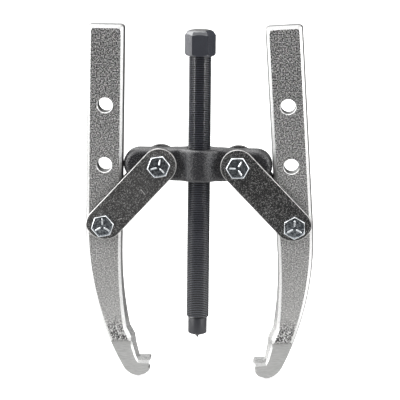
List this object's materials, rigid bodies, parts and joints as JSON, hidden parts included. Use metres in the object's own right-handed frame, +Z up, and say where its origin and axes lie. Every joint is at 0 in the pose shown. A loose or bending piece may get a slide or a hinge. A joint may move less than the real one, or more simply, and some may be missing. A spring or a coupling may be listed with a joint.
{
  "type": "gear puller",
  "caption": "Two-jaw gear puller: forged hooked jaws hang from link straps on a black crosshead, with a central forcing screw and hexagon drive.",
  "frame": {"origin": "on the forcing screw's axis, at the lower end of the live point's cylindrical nose", "axes": "+Z up along the screw towards its hexagon drive, +X towards the right jaw, +Y to the rear, where the nuts are"},
  "size_m": [0.1768, 0.0449, 0.2781],
  "materials": {
    "jaw_silver": "matte shot-blasted silver plating over forged steel, bright along the bevelled edges",
    "crosshead_black": "soft satin black oxide over a forged surface",
    "strap_black": "matte charcoal black with fine sparkle and bare bright edges",
    "screw_black": "oiled black oxide",
    "point_steel": "oiled black oxide",
    "spring_steel": "plain spring wire",
    "zinc_bolt": "bright bluish zinc plating",
    "zinc_nut": "bright bluish zinc plating",
    "nylon": "natural nylon"
  },
  "bodies": {
    "crosshead": {"crosshead": "crosshead_black"},
    "point": {"live_point": "point_steel", "point_retaining_ring": "spring_steel"},
    "screw": {"forcing_screw": "screw_black"},
    "left_link": {"strap_front_left": "strap_black", "strap_rear_left": "strap_black", "bolt_upper_left": "zinc_bolt", "bolt_lower_left": "zinc_bolt", "nut_upper_left": "zinc_nut", "nut_lower_left": "zinc_nut", "insert_upper_left": "nylon", "insert_lower_left": "nylon"},
    "right_link": {"strap_front_right": "strap_black", "strap_rear_right": "strap_black", "bolt_upper_right": "zinc_bolt", "bolt_lower_right": "zinc_bolt", "nut_upper_right": "zinc_nut", "nut_lower_right": "zinc_nut", "insert_upper_right": "nylon", "insert_lower_right": "nylon"},
    "left_jaw": {"jaw_left": "jaw_silver"},
    "right_jaw": {"jaw_right": "jaw_silver"}
  },
  "joints": [
    {"name": "screw_feed", "type": "slide", "parent": "crosshead", "child": "point", "axis": [0, 0, 1], "range_m": [-0.07, 0.105]},
    {"name": "screw_turn", "type": "hinge", "parent": "point", "child": "screw", "pos_m": [0, 0, 0.133], "axis": [0, 0, 1], "range_deg": [-17900, 26800]},
    {"name": "link_swing_left", "type": "hinge", "parent": "crosshead", "child": "left_link", "pos_m": [-0.03015, 0, 0.133], "axis": [0, 1, 0], "range_deg": [0, 19]},
    {"name": "link_swing_right", "type": "hinge", "parent": "crosshead", "child": "right_link", "pos_m": [0.03015, 0, 0.133], "axis": [0, -1, 0], "range_deg": [0, 19]},
    {"name": "jaw_swing_left", "type": "hinge", "parent": "left_link", "child": "left_jaw", "pos_m": [-0.07305, 0, 0.08618], "axis": [0, -1, 0], "range_deg": [0, 12]},
    {"name": "jaw_swing_right", "type": "hinge", "parent": "right_link", "child": "right_jaw", "pos_m": [0.07434, 0, 0.0874], "axis": [0, 1, 0], "range_deg": [0, 15]}
  ],
  "couplings": [
    {"joint": "screw_turn", "follows": "screw_feed", "rad_per_m": 4452.7}
  ]
}
